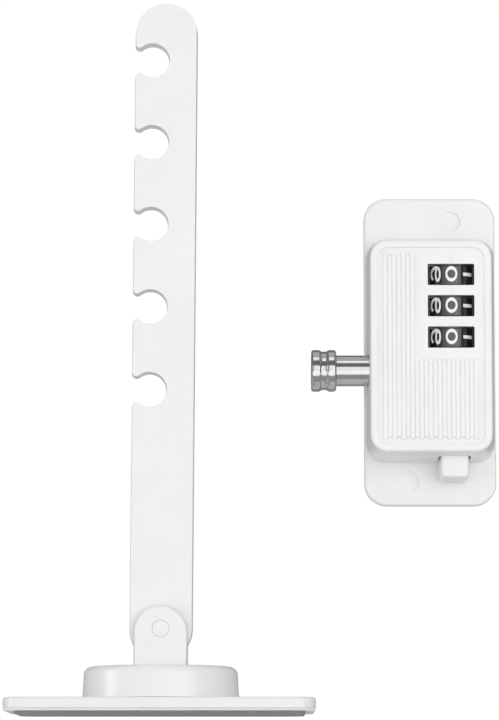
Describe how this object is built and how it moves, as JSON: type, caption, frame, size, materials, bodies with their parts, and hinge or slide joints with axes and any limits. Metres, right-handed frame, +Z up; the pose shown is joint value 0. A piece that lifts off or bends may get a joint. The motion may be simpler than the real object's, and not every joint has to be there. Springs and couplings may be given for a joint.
{
  "type": "window restrictor",
  "caption": "Stick-on window restrictor: notched stay arm that folds and swivels on its base, and a combination lock whose steel stud catches a notch and holds the window part open.",
  "frame": {"origin": "centre of the underside of the stay arm's base pad, where it is stuck down", "axes": "+Z up the stay arm, +X from the arm towards the lock unit, +Y from the front towards the wall that the lock unit is stuck to"},
  "size_m": [0.1291, 0.044, 0.188],
  "materials": {
    "white_plastic": "white moulded ABS, satin gloss",
    "dial_black": "black moulded plastic with white filled numerals",
    "numeral_white": "white ink fill",
    "washer_black": "black acetal",
    "polished_steel": "turned and polished stainless steel",
    "spring_steel": "bright spring steel",
    "plain_steel": "zinc-plated steel",
    "foam_tape": "dark grey acrylic foam tape"
  },
  "bodies": {
    "base": {"base_plate": "white_plastic", "base_pad": "foam_tape"},
    "turret": {"turret": "white_plastic", "turret_friction_washer": "plain_steel", "turret_retaining_washer": "plain_steel", "turret_screw": "plain_steel", "pivot_pin": "white_plastic"},
    "arm": {"stay_arm": "white_plastic", "front_friction_washer": "washer_black", "rear_friction_washer": "washer_black"},
    "lock_unit": {"lock_back_plate": "white_plastic", "lock_cover": "white_plastic", "lock_pad": "foam_tape", "cover_screw_1": "plain_steel", "cover_screw_2": "plain_steel", "cover_screw_3": "plain_steel", "cover_screw_4": "plain_steel", "dial_shaft": "plain_steel", "detent_leaf_spring": "spring_steel", "stud_guide_bush": "white_plastic", "stud_spring": "spring_steel", "button_spring": "spring_steel"},
    "dial_1": {"dial_wheel_1": "dial_black", "code_sleeve_1": "white_plastic"},
    "dial_2": {"dial_wheel_2": "dial_black", "code_sleeve_2": "white_plastic"},
    "dial_3": {"dial_wheel_3": "dial_black", "code_sleeve_3": "white_plastic"},
    "stud": {"stud": "polished_steel"},
    "button": {"release_button": "white_plastic", "latch_slider": "plain_steel"}
  },
  "joints": [
    {"name": "turret_swivel", "type": "hinge", "parent": "base", "child": "turret", "pos_m": [0, 0, 0.0041], "axis": [0, 0, 1], "continuous": true},
    {"name": "arm_fold", "type": "hinge", "parent": "turret", "child": "arm", "pos_m": [0, 0, 0.0222], "axis": [0, 1, 0], "range_deg": [-90, 90]},
    {"name": "lock_height", "type": "slide", "parent": "base", "child": "lock_unit", "axis": [0, 0, 1], "range_m": [-0.0063, 0.0812]},
    {"name": "dial_1_turn", "type": "hinge", "parent": "lock_unit", "child": "dial_1", "pos_m": [0.07649, 0.0108, 0.11605], "axis": [0, 0, 1], "continuous": true},
    {"name": "dial_2_turn", "type": "hinge", "parent": "lock_unit", "child": "dial_2", "pos_m": [0.07649, 0.0108, 0.1077], "axis": [0, 0, 1], "continuous": true},
    {"name": "dial_3_turn", "type": "hinge", "parent": "lock_unit", "child": "dial_3", "pos_m": [0.07649, 0.0108, 0.09935], "axis": [0, 0, 1], "continuous": true},
    {"name": "stud_slide", "type": "slide", "parent": "lock_unit", "child": "stud", "axis": [-1, 0, 0], "range_m": [0, 0.008], "deforming": ["stud_spring"]},
    {"name": "button_press", "type": "slide", "parent": "lock_unit", "child": "button", "axis": [0, 0, 1], "range_m": [0, 0.002], "stiffness_N_per_m": 400, "springref_m": -0.003, "deforming": ["button_spring"]}
  ]
}
